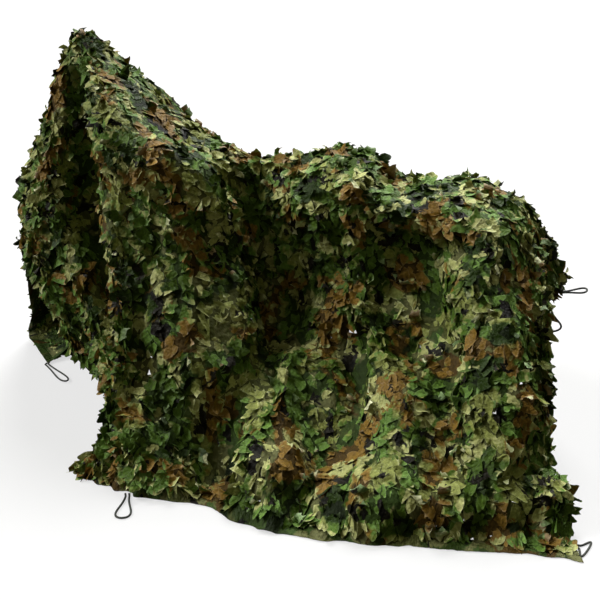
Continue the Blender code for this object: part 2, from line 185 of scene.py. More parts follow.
# One row for each loop: where it leaves the hem on the flat cloth, which way it lies, which way
# it is wide, its length and its width.
# name            reach, span             heading              side                 length  width
LOOPS = (
    ("front_loop", (0.0, HALF_WIDTH), (0.81, -0.59, 0.0), (0.59, 0.81, 0.0), 0.220, 0.028),
    ("near_loop", (1.06, -HALF_WIDTH), (0.33, -0.94, 0.0), (0.94, 0.33, 0.0), 0.130, 0.042),
    ("corner_loop", (NET_LENGTH, -1.42), (0.95, -0.31, 0.0), (0.31, 0.95, 0.0), 0.030, 0.080),
    ("rear_loop_upper", (NET_LENGTH, -0.10), (0.98, 0.0, 0.20), (0.0, 1.0, 0.0), 0.085, 0.045),
    ("rear_loop_lower", (NET_LENGTH, -0.24), (0.30, 0.0, -0.95), (0.95, 0.0, 0.30), 0.080, 0.045),
)

# The cord of the tie-down loops: its size, how far its root stands off the hem and its underside
# off the floor, how far each end is from the middle of both in diameters, what brings a loop to
# its full width, and how far it is sewn in
CORD_DIAMETER = 0.007
CORD_POINTS = 65
CORD_SIDES = 12
CORD_ROOT_GAP = 0.011
CORD_FLOOR_GAP = 0.0005
CORD_NECK = 0.9
LOOP_SWELL = 1.3
CORD_SEWN_IN = 0.014
CORD_SEWN_POINTS = 6

# Noise on the flat cloth: the points of its table each way, and how many of its own cells it is
# moved by, so that no place falls off its start
NOISE_POINTS = 128
NOISE_SHIFT = 40.0
# Each wobble of the cloth is a noise: its height, its size and its seed
GATHER_DRIFT = (0.12, 0.42, 3)
COARSE_CRINKLES = (0.013, 0.15, 5)
FINE_CRINKLES = (0.006, 0.065, 7)
LINES_WANDER_ALONG = (0.006, 0.03, 21)
LINES_WANDER_ACROSS = (0.006, 0.03, 22)
STRANDS_LIFT = (0.004, 0.035, 23)
BINDING_PUCKER = (0.0009, 0.014, 31)
# The gathers that run down the fall: how far apart they are, their height at the ridge, and what
# the hem adds to it
GATHER_PITCH = 0.23
GATHER_HEIGHT = (0.002, 0.009)

# The cuts: squares in staggered rows, in cells of the cloth's own grid, and the cell of each that
# its leaves start from. The share that stands open is left out of the cloth. At the others it is
# drawn whole, under their leaves.
GRID_STEP = 0.012
CELLS_PER_CUT = 4
STRIP_CELLS = 2
MIDDLE_CELL = 1
OPEN_SHARE = 0.14
OPEN_SEED = 41
UNCUT_EDGE = 0.047
# Over how far in from the binding the cloth's lines become free to wander
LOOSE_EDGE = 0.05
# The cloth's table of places: its step, how far from its end a place is held so that it still has
# a next one, how far the cloth lies under the drape, and how far leaves, cloth and binding stay
# off the floor
LOOKUP_STEP = 0.010
LAST_CELL = 1.001
CLOTH_INSET = 0.020
FLOOR_CLEARANCE = 0.0015
CLOTH_CLEARANCE = 0.0035
BINDING_CLEARANCE = 0.0003

# The binding's section from the fold in to its inner edge: places across and half thicknesses,
# with a furrow at each row of stitches. Then its step along, and how much closer its puckers are
# across than along.
BINDING_PROFILE = (
    (0.0, 0.0004), (0.0015, 0.0013), (0.004, 0.0017), (0.0065, 0.0009), (0.009, 0.0017),
    (0.014, 0.0021), (0.020, 0.0020), (0.026, 0.0017), (0.0285, 0.0009), (0.031, 0.0014),
    (0.035, 0.0004),
)
BINDING_STEP = 0.008
PUCKER_SQUEEZE = 3
# One row for each strip: where it starts and ends on the flat cloth, and which way is inward
BINDINGS = (
    ("near_binding", (0.0, -HALF_WIDTH), (NET_LENGTH, -HALF_WIDTH), (0.0, 1.0)),
    ("far_binding", (NET_LENGTH, HALF_WIDTH), (0.0, HALF_WIDTH), (0.0, -1.0)),
    ("front_binding", (0.0, INNER_WIDTH / 2), (0.0, -INNER_WIDTH / 2), (1.0, 0.0)),
    ("rear_binding", (NET_LENGTH, -INNER_WIDTH / 2), (NET_LENGTH, INNER_WIDTH / 2), (-1.0, 0.0)),
)

# The leaves: one row for each way a flap is cut. Half width at five places from root to tip, how
# far the tip's five points reach past its length, and how common it is.
LEAF_KINDS = (
    ("pointed", (0.80, 1.00, 0.92, 0.66, 0.22), (0.00, 0.00, 0.04, 0.00, 0.00), 0.16),
    ("tongue", (0.80, 1.00, 0.98, 0.84, 0.46), (-0.12, 0.02, 0.06, 0.02, -0.12), 0.50),
    ("square_cut", (0.96, 0.94, 0.98, 0.98, 0.76), (0.08, -0.04, -0.06, -0.02, 0.04), 0.34),
)
LEAF_POINTS = 5
LEAF_SEED = 1707
LEAF_LENGTH = 0.043
LEAF_WIDTH = 0.033
# The least and the most of what leaves differ in: size, length for its size, and width for it
LEAF_SIZES = (0.62, 1.32)
LENGTH_SPREAD = (0.85, 1.2)
WIDTH_SPREAD = (0.8, 1.15)
# The most that a cut edge is ragged, its share at the tip, and the most a leaf leans and is creased
RAGGED_EDGE = 0.05
RAGGED_TIP = 0.6
LEAF_SKEW = 0.42
LEAF_CREASE = 0.35
# How loosely leaves hang in a stretch of the net: the least, what noise adds to it, the noise's
# middle and gain, its size and its seed
LOOSENESS = (0.40, 0.75, 0.5, 0.9, 0.26, 11)
# In degrees: the lift by its least, likeliest and most, the bend, the roll and the twist each by
# a mean and a spread, and the least and the most of the bend
LIFT_ANGLES = (0, 6, 26)
BEND_ANGLES = (2, 23)
BEND_LIMITS = (-50, 90)
ROLL_ANGLES = (4, 28)
TWIST_ANGLES = (0, 16)
# In degrees: what leaves over the binding are lifted by, what the fringe is bent down by, how far
# the few leaves that are rolled up turn, and from where and over what turn a leaf's back shows
HEM_LIFT = 14
FRINGE_BEND = 65
ROLLED_UP_SHARE = 0.05
ROLLED_UP_ANGLES = (120, 200)
BACK_SHOWS = (75, 40)
# The least bend and roll of a leaf, in radians a metre, and how far each tip sags, in metres
STRAIGHTEST = 0.5
TIP_SAG = 0.006

# In radians: how far each flap of a cut is turned from the first, with the share of cuts that have
# it, and how far that turn varies
FLAPS_PER_CUT = ((0.0, 1.0), (1.6, 1.0), (3.1, 1.0), (4.7, 1.0))
TURN_SPREAD = 0.5
# A flap's root: how far it is from the middle of its cut, and how far that varies
HINGE_BACK = 0.022
ROOT_SPREAD = 0.008
# How strongly the fall and the fringe draw the headings, and over how far each edge calms them:
# the rear, the front, the far side and the near side
FALL_PULL = 0.4
FRINGE_PULL = 2.0
EDGE_CALM = (0.10, 0.10, 0.10, 0.05)
# The stretch of the near hem whose leaves hang over it, over how far it fades in at its ends, and
# how far in from the hem they start
FRINGE_REACH = (1.80, 3.30)
FRINGE_FADE = 0.15
FRINGE_DEPTH = 0.20
# The rows of leaves over the binding: how far in from the hem they stand and how far that varies,
# how far apart they are, how far their headings fan out, and how far in they count as such a row
HEM_ROW_INSET = 0.058
HEM_ROW_SPREAD = (-0.010, 0.014)
HEM_LEAF_STEP = 0.019
HEM_LEAF_FAN = 0.9
HEM_ROW_END = 0.074
LEAF_PIECES = (
    ("leaves_front", 0.0, 0.95),
    ("leaves_handlebar", 0.95, 1.75),
    ("leaves_saddle", 1.75, 2.60),
    ("leaves_tail", 2.60, 3.51),
)


# ---- the drape, as in the part
def smooth_weights(knots, places):
    """Weights of the knots at each place: a cubic through the knots with averaged slopes."""
    knots = np.asarray(knots, float)
    places = np.clip(places, knots[0], knots[-1])
    count = len(knots)
    slopes = np.zeros((count, count))
    for k in range(count):
        before, after = max(k - 1, 0), min(k + 1, count - 1)
        slopes[k, after] += 1.0 / (knots[after] - knots[before])
        slopes[k, before] -= 1.0 / (knots[after] - knots[before])
    k = np.clip(np.searchsorted(knots, places, side="right") - 1, 0, count - 2)
    h = np.diff(knots)[k]
    t = (places - knots[k]) / h
    unit = np.eye(count)
    return ((2 * t**3 - 3 * t**2 + 1)[:, None] * unit[k]
            + ((t**3 - 2 * t**2 + t) * h)[:, None] * slopes[k]
            + (3 * t**2 - 2 * t**3)[:, None] * unit[k + 1]
            + ((t**3 - t**2) * h)[:, None] * slopes[k + 1])


def section_places():
    """Places of the drape's lines as an array (section, line, xyz), near hem first."""
    ridge = np.array(RIDGE)[:, None, 1:]
    near, far = np.array(NEAR_SECTIONS), np.array(FAR_SECTIONS)
    near[:, :, 1] *= -1.0
    return np.concatenate([near[:, ::-1], ridge, far], axis=1)


def hung_sheet(reach, span):
    """The sheet without its folds: smooth curves both ways through the drape's lines."""
    spans = list(LINE_SPANS.values())
    lines = np.array([-s for s in spans[::-1]] + spans[1:])
    along = smooth_weights([row[0] for row in RIDGE], reach)
    across = smooth_weights(lines, span)
    return np.einsum("ik,kjc,lj->ilc", along, section_places(), across, optimize=True)


def fold_heights(reach, span, folds=FOLDS):
    """Height of the folds at each place of the flat cloth: a bell across, faded at both ends."""
    reach, span = np.meshgrid(reach, span, indexing="ij")
    height = np.zeros(reach.shape)
    for _name, start, end, width, size in folds:
        line = np.subtract(end, start)
        length = np.hypot(*line)
        along = ((reach - start[0]) * line[0] + (span - start[1]) * line[1]) / length
        aside = ((reach - start[0]) * line[1] - (span - start[1]) * line[0]) / length
        past = np.maximum(0.0, np.maximum(-along, along - length))
        height += size * np.exp(-(aside**2 + past**2) / (width / 2)**2)
    return height


def face_directions(surface, reach, span):
    """Unit normals of a surface of reach and span: the cross product of its two slopes."""
    before = np.maximum(reach - NORMAL_STEP, 0.0)
    after = np.minimum(reach + NORMAL_STEP, NET_LENGTH)
    nearer = np.maximum(span - NORMAL_STEP, -HALF_WIDTH)
    farther = np.minimum(span + NORMAL_STEP, HALF_WIDTH)
    along = surface(after, span) - surface(before, span)
    across = surface(reach, farther) - surface(reach, nearer)
    normals = np.cross(along, across)
    return normals / np.linalg.norm(normals, axis=2, keepdims=True)


def folded_sheet(reach, span):
    """The hung sheet with each fold moved out along its normals, and nothing under the floor."""
    outward = face_directions(hung_sheet, reach, span)
    places = hung_sheet(reach, span) + outward * fold_heights(reach, span)[:, :, None]
    places[:, :, 2] = np.maximum(0.0, places[:, :, 2])
    return places


def drape(reach, span, thickness):
    """The under face and the upper face of the cloth, lifted where it would go under the floor."""
    under = folded_sheet(reach, span)
    outward = face_directions(folded_sheet, reach, span)
    under[:, :, 2] += np.maximum(0.0, -(under + outward * NET_THICKNESS)[:, :, 2])
    return under, under + outward * np.asarray(thickness)[..., None]


def inner_lines(rows, columns):
    """Reach and span of the lines of a grid that fills the net inside its binding."""
    return (np.linspace(BINDING_WIDTH, NET_LENGTH - BINDING_WIDTH, rows + 1),
            np.linspace(BINDING_WIDTH - HALF_WIDTH, HALF_WIDTH - BINDING_WIDTH, columns + 1))


def frame_offset():
    """What is taken from the drape's places to put them in the part's frame, from the CAD net."""
    reach, span = inner_lines(CAD_LENGTH_CELLS, CAD_WIDTH_CELLS)
    thickness = np.full((reach.size, span.size), BINDING_THICKNESS)
    thickness[1:-1, 1:-1] = NET_THICKNESS
    lowest = np.concatenate(drape(reach, span, thickness)).reshape(-1, 3).min(axis=0)
    return lowest - np.array(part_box("net")[0])


# ---- crinkles and places on the cloth
def from_hem(reach, span):
    """How far in from the nearest hem each place of the flat cloth is."""
    return np.minimum(np.minimum(reach, NET_LENGTH - reach), HALF_WIDTH - np.abs(span))


def soft_noise(reach, span, size, seed):
    """Smooth noise from -1 to 1: random numbers on a lattice of that size, eased between."""
    table = np.random.default_rng(seed).uniform(-1.0, 1.0, (NOISE_POINTS, NOISE_POINTS))
    r, s = reach / size + NOISE_SHIFT, span / size + NOISE_SHIFT
    i, j = np.floor(r).astype(int), np.floor(s).astype(int)
    u, v = r - i, s - j
    u, v = u * u * (3 - 2 * u), v * v * (3 - 2 * v)
    i, j = i % (NOISE_POINTS - 1), j % (NOISE_POINTS - 1)
    return ((table[i, j] * (1 - u) + table[i + 1, j] * u) * (1 - v)
            + (table[i, j + 1] * (1 - u) + table[i + 1, j + 1] * u) * v)


def wobble(reach, span, noise):
    """Soft noise of one of the rows of height, size and seed."""
    height, size, seed = noise
    return height * soft_noise(reach, span, size, seed)


def crinkles(reach, span):
    """Height of the small folds: gathers that run down the fall, and crinkles every way."""
    small = fold_heights(reach, span, SMALL_FOLDS)
    reach, span = np.meshgrid(reach, span, indexing="ij")
    at_ridge, by_hem = GATHER_HEIGHT
    phase = 2 * np.pi * (reach + wobble(reach, span, GATHER_DRIFT)) / GATHER_PITCH
    gathers = np.sin(phase) * (at_ridge + by_hem * (np.abs(span) / HALF_WIDTH))
    return (small + gathers + wobble(reach, span, COARSE_CRINKLES)
            + wobble(reach, span, FINE_CRINKLES))


class Cloth:
    """The crinkled cloth as a fine table of places and directions, read between its points."""

    def __init__(self, offset):
        """The drape moved along its normals by the crinkles, and its slopes by differences."""
        self.rows = int(round(NET_LENGTH / LOOKUP_STEP)) + 1
        self.columns = int(round(NET_WIDTH / LOOKUP_STEP)) + 1
        reach = np.linspace(0.0, NET_LENGTH, self.rows)
        span = np.linspace(-HALF_WIDTH, HALF_WIDTH, self.columns)
        under, upper = drape(reach, span, NET_THICKNESS / 2)
        outward = (upper - under) / (NET_THICKNESS / 2)
        height = crinkles(reach, span)
        places = upper + outward * (height - CLOTH_INSET)[:, :, None] - offset
        places[:, :, 2] = np.maximum(places[:, :, 2], CLOTH_CLEARANCE)
        along = np.gradient(places, axis=0)
        across = np.gradient(places, axis=1)
        normal = np.cross(along, across)
        normal /= np.linalg.norm(normal, axis=2, keepdims=True)
        along /= np.linalg.norm(along, axis=2, keepdims=True)
        self.table = np.concatenate([places, along, np.cross(normal, along), normal], axis=2)

    def at(self, reach, span):
        """Place, direction along, direction across and normal at each place of the flat cloth."""
        r = np.clip(reach / LOOKUP_STEP, 0, self.rows - LAST_CELL)
        s = np.clip((span + HALF_WIDTH) / LOOKUP_STEP, 0, self.columns - LAST_CELL)
        i, j = r.astype(int), s.astype(int)
        u, v = (r - i)[..., None], (s - j)[..., None]
        t = self.table
        found = ((t[i, j] * (1 - u) + t[i + 1, j] * u) * (1 - v)
                 + (t[i, j + 1] * (1 - u) + t[i + 1, j + 1] * u) * v)
        return found[..., 0:3], found[..., 3:6], found[..., 6:9], found[..., 9:12]


# ---- meshes
def grid_faces(rows, columns):
    """Four corners of each cell of a grid of points, in rows, as an array."""
    n = np.arange(rows * columns).reshape(rows, columns)
    return np.stack([n[:-1, :-1], n[1:, :-1], n[1:, 1:], n[:-1, 1:]], axis=-1)


def make_mesh(name, points, faces, uv, values=()):
    """A smooth mesh of four-cornered faces, with a UV map in metres and named point values."""
    mesh = bpy.data.meshes.new(name)
    used, faces = np.unique(faces, return_inverse=True)
    faces = faces.reshape(-1, 4)
    mesh.vertices.add(len(used))
    mesh.vertices.foreach_set("co", points[used].astype(np.float32).ravel())
    mesh.loops.add(faces.size)
    mesh.loops.foreach_set("vertex_index", faces.ravel().astype(np.int32))
    mesh.polygons.add(len(faces))
    mesh.polygons.foreach_set("loop_start", np.arange(0, faces.size, 4, dtype=np.int32))
    mesh.update(calc_edges=True)
    mesh.shade_smooth()
    layer = mesh.uv_layers.new(name="cloth")
    layer.uv.foreach_set("vector", uv[used][faces.ravel()].astype(np.float32).ravel())
    for key in values:
        attribute = mesh.attributes.new(key, "FLOAT", "POINT")
        attribute.data.foreach_set("value", values[key][used].astype(np.float32))
    return mesh


def add_piece(name, mesh, material, replaced=()):
    """Link a finished piece, ride it on the one body and hide the parts it stands for."""
    mesh.materials.append(material)
    piece = bpy.data.objects.new(name, mesh)
    bpy.context.scene.collection.objects.link(piece)
    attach(piece, "root")
    if replaced:
        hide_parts(*replaced)
    return piece


# ---- the cut cloth
def cut_layout():
    """Which cells of the cloth's grid are cut away, and the middle of each cut, open or not.

    Cuts come in rows CELLS_PER_CUT cells deep. Every other row is moved along by half a cut, and
    STRIP_CELLS of cloth are left between neighbours. A border of uncut cloth stays by the hem.
    """
    rows = int(round(INNER_LENGTH / GRID_STEP))
    columns = int(round(INNER_WIDTH / GRID_STEP))
    i, j = np.meshgrid(np.arange(rows), np.arange(columns), indexing="ij")
    row = i // CELLS_PER_CUT
    shifted = j + (row % 2) * (CELLS_PER_CUT // 2)
    reach = BINDING_WIDTH + (i + 0.5) * INNER_LENGTH / rows
    span = BINDING_WIDTH - HALF_WIDTH + (j + 0.5) * INNER_WIDTH / columns
    open_cells = CELLS_PER_CUT - STRIP_CELLS
    draws = np.random.default_rng(OPEN_SEED)
    left_open = draws.random((rows, columns + CELLS_PER_CUT)) < OPEN_SHARE
    cut = (i % CELLS_PER_CUT < open_cells) & (shifted % CELLS_PER_CUT < open_cells)
    cut &= (from_hem(reach, span) > UNCUT_EDGE) & left_open[row, shifted // CELLS_PER_CUT]
    middle = (i % CELLS_PER_CUT == MIDDLE_CELL) & (shifted % CELLS_PER_CUT == MIDDLE_CELL)
    return rows, columns, cut, reach[middle], span[middle]


def cut_cloth(cloth):
    """The net's own sheet and its flat area: a fine grid with the open cuts left out.

    Its lines wander slightly and its strands rise and dip, all by noise that fades at the binding.
    """
    rows, columns, cut, _reach, _span = cut_layout()
    reach, span = np.meshgrid(*inner_lines(rows, columns), indexing="ij")
    loose = np.clip((from_hem(reach, span) - BINDING_WIDTH) / LOOSE_EDGE, 0.0, 1.0)
    wander_r = reach + loose * wobble(reach, span, LINES_WANDER_ALONG)
    wander_s = span + loose * wobble(reach, span, LINES_WANDER_ACROSS)
    points, _along, _across, normal = cloth.at(wander_r, wander_s)
    points = points + normal * (loose * wobble(reach, span, STRANDS_LIFT))[..., None]
    points[..., 2] = np.maximum(points[..., 2], FLOOR_CLEARANCE)
    faces = grid_faces(rows + 1, columns + 1)[~cut]
    uv = np.stack([wander_r, wander_s], axis=-1).reshape(-1, 2)
    area = (~cut).sum() * INNER_LENGTH * INNER_WIDTH / cut.size
    return make_mesh("net_cloth", points.reshape(-1, 3), faces.reshape(-1, 4), uv), area


# ---- the leaves
def fringe_share(reach, span):
    """How much a leaf belongs to the fringe that hangs over the near hem, from 0 to 1.

    It is 1 in the outer half of the fringe's depth and falls to 0 over the inner half.
    """
    inside = np.minimum(reach - FRINGE_REACH[0], FRINGE_REACH[1] - reach) / FRINGE_FADE
    near = 2.0 - 2.0 * (span + HALF_WIDTH) / FRINGE_DEPTH
    return np.clip(inside, 0.0, 1.0) * np.clip(near, 0.0, 1.0)


def over_hem(reach, span):
    """1 for a leaf of the rows that lie over the binding, 0 for the others."""
    return (from_hem(reach, span) < HEM_ROW_END) * 1.0


def hem_row_sites(draws):
    """Root and heading of the leaves that lie over the binding: a row along each hem.

    Each row heads straight out over its hem, and each leaf of it is turned aside by a random share.
    """
    rows = []
    for length, place in ((NET_LENGTH, lambda run, inset: (run, inset - HALF_WIDTH)),
                          (NET_LENGTH, lambda run, inset: (run, HALF_WIDTH - inset)),
                          (NET_WIDTH, lambda run, inset: (inset, run - HALF_WIDTH)),
                          (NET_WIDTH, lambda run, inset: (NET_LENGTH - inset, run - HALF_WIDTH))):
        count = int(length / HEM_LEAF_STEP)
        run = np.linspace(HEM_ROW_INSET, length - HEM_ROW_INSET, count)
        inset = HEM_ROW_INSET + draws.uniform(*HEM_ROW_SPREAD, count)
        root = np.stack(np.broadcast_arrays(*place(run, inset)), axis=1)
        outward = np.subtract(place(0.0, 0.0), place(0.0, 1.0))
        aside = draws.uniform(-HEM_LEAF_FAN, HEM_LEAF_FAN, count)[:, None] * outward[::-1]
        rows.append(np.concatenate([root, outward + aside], axis=1))
    reach, span, ahead, beside = np.concatenate(rows).T
    heading = np.stack([ahead, beside], axis=1)
    return reach, span, heading / np.linalg.norm(heading, axis=1, keepdims=True)


def leaf_sites(cloth, draws):
    """Root and heading of each leaf on the flat cloth: the flaps of each cut, then the hem rows.

    A flap heads across its cut from one side. Its heading is a random one, pulled down the fall
    of the cloth by the steepness there, and turned along the hem where a hem is near.
    """
    _rows, _columns, _cut, middle_reach, middle_span = cut_layout()
    count = middle_reach.size
    first = draws.uniform(0, 2 * np.pi, count)
    turns, kept = [], []
    for turned, share in FLAPS_PER_CUT:
        turns.append(first + turned + draws.uniform(-TURN_SPREAD, TURN_SPREAD, count))
        kept.append(draws.random(count) < share)
    turn, kept = np.concatenate(turns), np.concatenate(kept)
    reach = np.tile(middle_reach, len(FLAPS_PER_CUT))[kept]
    span = np.tile(middle_span, len(FLAPS_PER_CUT))[kept]
    turn = turn[kept]
    _place, along, across, _normal = cloth.at(reach, span)
    fall = -np.stack([along[:, 2], across[:, 2]], axis=1)
    heading = np.stack([np.cos(turn), np.sin(turn)], axis=1) + FALL_PULL * fall
    heading[:, 1] -= FRINGE_PULL * fringe_share(reach, span)
    room = np.stack([NET_LENGTH - reach, reach, HALF_WIDTH - span, HALF_WIDTH + span], axis=1)
    calm = np.clip(room / EDGE_CALM, 0.0, 1.0)
    heading = np.maximum(heading, 0.0) * calm[:, 0::2] + np.minimum(heading, 0.0) * calm[:, 1::2]
    heading /= np.linalg.norm(heading, axis=1, keepdims=True)
    moved = [draws.uniform(-ROOT_SPREAD, ROOT_SPREAD, reach.size) for _way in range(2)]
    reach = reach + moved[0] - heading[:, 0] * HINGE_BACK
    span = span + moved[1] - heading[:, 1] * HINGE_BACK
    rim_reach, rim_span, rim_heading = hem_row_sites(draws)
    return (np.concatenate([reach, rim_reach]), np.concatenate([span, rim_span]),
            np.concatenate([heading, rim_heading]))


def leaves(cloth):
    """Every leaf as a grid of LEAF_POINTS each way: arrays of points, UV places and values.

    A leaf is cut flat, as wide at each row as its kind says. It is then bent along its length, on
    an arc that starts at its lift and turns by its bend, rolled across its width on an arc of its
    own, and twisted about its length more and more towards the tip. In some stretches of the net
    the leaves are loose, in others they lie flatter.
    """
    draws = np.random.default_rng(LEAF_SEED)
    reach, span, heading = leaf_sites(cloth, draws)
    count = reach.size
    kind = draws.choice(len(LEAF_KINDS), count, p=[row[3] for row in LEAF_KINDS])
    widths = np.array([row[1] for row in LEAF_KINDS])[kind]
    tips = np.array([row[2] for row in LEAF_KINDS])[kind]
    size = draws.uniform(*LEAF_SIZES, count)
    length = LEAF_LENGTH * size * draws.uniform(*LENGTH_SPREAD, count)
    width = LEAF_WIDTH * size * draws.uniform(*WIDTH_SPREAD, count)

    x = np.linspace(-1.0, 1.0, LEAF_POINTS)[None, None, :]
    y = np.linspace(0.0, 1.0, LEAF_POINTS)[None, :, None]
    ragged = draws.uniform(-RAGGED_EDGE, RAGGED_EDGE, (2, count, LEAF_POINTS, LEAF_POINTS))
    ragged = ragged * (y > 0)
    aside = (x * widths[:, :, None] + ragged[0]) * width[:, None, None] / 2
    out = (y + tips[:, None, :] * y**3 + RAGGED_TIP * ragged[1]) * length[:, None, None]
    aside = aside + draws.uniform(-LEAF_SKEW, LEAF_SKEW, count)[:, None, None] * out * y

    least, added, middle, gain, patch, seed = LOOSENESS
    stretch = np.clip(middle + gain * soft_noise(reach, span, patch, seed), 0.0, 1.0)
    loose = least + added * stretch
    at_hem = over_hem(reach, span)
    lift = draws.triangular(*LIFT_ANGLES, count) * loose + HEM_LIFT * at_hem
    lift = np.radians(lift)[:, None, None]
    bend = np.clip(draws.normal(*BEND_ANGLES, count) * loose, *BEND_LIMITS)
    bend = bend - FRINGE_BEND * fringe_share(reach, span) * (1 - at_hem)
    rolled_up = draws.random(count) < ROLLED_UP_SHARE
    bend = np.radians(np.where(rolled_up, draws.uniform(*ROLLED_UP_ANGLES, count), bend))
    rate = (bend / length)[:, None, None]
    rate = np.where(np.abs(rate) < STRAIGHTEST, STRAIGHTEST, rate)
    angle = lift + rate * out
    forward = (np.sin(angle) - np.sin(lift)) / rate
    up = (np.cos(lift) - np.cos(angle)) / rate
    roll = (np.radians(draws.normal(*ROLL_ANGLES, count) * loose) / width)[:, None, None]
    roll = np.where(np.abs(roll) < STRAIGHTEST, STRAIGHTEST, roll)
    side = np.sin(roll * aside) / roll
    dip = (1 - np.cos(roll * aside)) / roll
    crease = draws.uniform(-LEAF_CREASE, LEAF_CREASE, count)[:, None, None] * np.abs(aside)
    twist = np.radians(draws.normal(*TWIST_ANGLES, count) * loose)[:, None, None] * y

    root, along, across, normal = cloth.at(reach, span)
    ahead = heading[:, :1] * along + heading[:, 1:] * across
    beside = np.cross(normal, ahead)
    ahead, beside, normal = (v[:, None, None, :] for v in (ahead, beside, normal))
    lean = -np.sin(angle)[..., None] * ahead + np.cos(angle)[..., None] * normal
    sideways = np.cos(twist)[..., None] * beside + np.sin(twist)[..., None] * lean
    raised = -np.sin(twist)[..., None] * beside + np.cos(twist)[..., None] * lean
    points = (root[:, None, None, :] + forward[..., None] * ahead + up[..., None] * normal
              + side[..., None] * sideways + (dip + crease)[..., None] * raised)
    points[..., 2] -= TIP_SAG * y**2
    points[..., 2] = np.maximum(points[..., 2], FLOOR_CLEARANCE)

    flat_side = np.stack([-heading[:, 1], heading[:, 0]], axis=1)[:, None, None, :]
    uv = (np.stack([reach, span], axis=1)[:, None, None, :]
          + out[..., None] * heading[:, None, None, :] + aside[..., None] * flat_side)
    rim = np.broadcast_to((np.abs(x) == 1.0) | (y == 1.0), aside.shape)
    turned, over = np.radians(BACK_SHOWS)
    values = {
        "tone": np.repeat(draws.uniform(-1, 1, count), LEAF_POINTS**2),
        "rim": rim.astype(float).ravel(),
        "back": np.clip((np.abs(angle) - turned) / over, 0, 1).ravel(),
    }
    return reach, points, uv, values


def leaf_meshes(cloth):
    """The leaves joined into one mesh for each stretch of the net."""
    reach, points, uv, values = leaves(cloth)
    one = grid_faces(LEAF_POINTS, LEAF_POINTS).reshape(-1, 4)
    for name, start, end in LEAF_PIECES:
        chosen = np.flatnonzero((reach >= start) & (reach < end))
        corners = (one[None] + LEAF_POINTS**2 * chosen[:, None, None]).reshape(-1, 4)
        yield name, make_mesh(name, points.reshape(-1, 3), corners, uv.reshape(-1, 2), values)


# ---- binding and loops
def binding_strip(cloth, name, start, end, inward):
    """A folded strip sewn over the hem, from start to end on the flat cloth.

    Its section is a closed ring of points: the upper layer from the fold in to its inner edge, and
    the under layer back to the fold. Noise that is drawn out along the strip puckers it.
    """
    start, end, inward = (np.array(v, float) for v in (start, end, inward))
    t = np.linspace(0.0, 1.0, int(np.linalg.norm(end - start) / BINDING_STEP) + 1)
    inset, half = np.array(BINDING_PROFILE).T
    offset = np.concatenate([inset, inset[::-1]])
    height = np.concatenate([half, -half[::-1]])
    line = start + t[:, None] * (end - start)
    flat = line[:, None, :] + offset[None, :, None] * inward
    points, _along, _across, normal = cloth.at(flat[..., 0], flat[..., 1])
    pucker = wobble(flat[..., 0] + flat[..., 1], offset[None, :] * PUCKER_SQUEEZE, BINDING_PUCKER)
    points = points + normal * (height[None, :] + pucker)[..., None]
    lowest = FLOOR_CLEARANCE * (height > 0) + BINDING_CLEARANCE
    points[..., 2] = np.maximum(points[..., 2], lowest)
    rows, columns = points.shape[:2]
    ring = np.arange(rows * columns).reshape(rows, columns)
    after = np.roll(ring, -1, axis=1)
    faces = np.stack([ring[:-1], after[:-1], after[1:], ring[1:]], axis=-1).reshape(-1, 4)
    caps = []
    for row, turned in ((0, True), (rows - 1, False)):
        upper, under = ring[row, :len(half)], ring[row, :len(half) - 1:-1]
        cap = np.stack([upper[:-1], upper[1:], under[1:], under[:-1]], axis=-1)
        caps.append(cap[:, ::-1] if turned else cap)
    return make_mesh(name, points.reshape(-1, 3), np.concatenate([faces, *caps]),
                     flat.reshape(-1, 2))


def loop_root(reach, span):
    """Where a loop's cord leaves the hem, beyond the binding's edge, and which way is outward."""
    reach, span = np.array([reach]), np.array([span])
    inner_reach = np.clip(reach, BINDING_WIDTH, NET_LENGTH - BINDING_WIDTH)
    inner_span = np.clip(span, BINDING_WIDTH - HALF_WIDTH, HALF_WIDTH - BINDING_WIDTH)
    under, upper = drape(reach, span, BINDING_THICKNESS)
    outward = under[0, 0] - drape(inner_reach, inner_span, BINDING_THICKNESS)[0][0, 0]
    if under[0, 0, 2] < CORD_DIAMETER:
        outward[2] = 0.0
    outward /= np.linalg.norm(outward)
    return (under + upper)[0, 0] / 2 + outward * CORD_ROOT_GAP, outward


def loop_route(root, outward, heading, side, length, width):
    """A teardrop from the hem and back: out by a sine, aside by a cosine that opens far out.

    Both ends run on into the binding, where they are sewn down.
    """
    turn = np.linspace(0.0, np.pi, CORD_POINTS)
    out = length * np.sin(turn)
    aside = np.cos(turn) * (CORD_NECK * CORD_DIAMETER + LOOP_SWELL * width * np.sin(turn)**2)
    heading = np.asarray(heading) / np.linalg.norm(heading)
    side = np.asarray(side) / np.linalg.norm(side)
    route = root + out[:, None] * heading + aside[:, None] * side
    depths = np.linspace(CORD_SEWN_IN, CORD_SEWN_IN / CORD_SEWN_POINTS, CORD_SEWN_POINTS)
    sewn = depths[:, None] * outward
    route = np.concatenate([route[0] - sewn, route, route[-1] - sewn[::-1]])
    route[:, 2] = np.maximum(route[:, 2], CORD_DIAMETER / 2 + CORD_FLOOR_GAP)
    return route


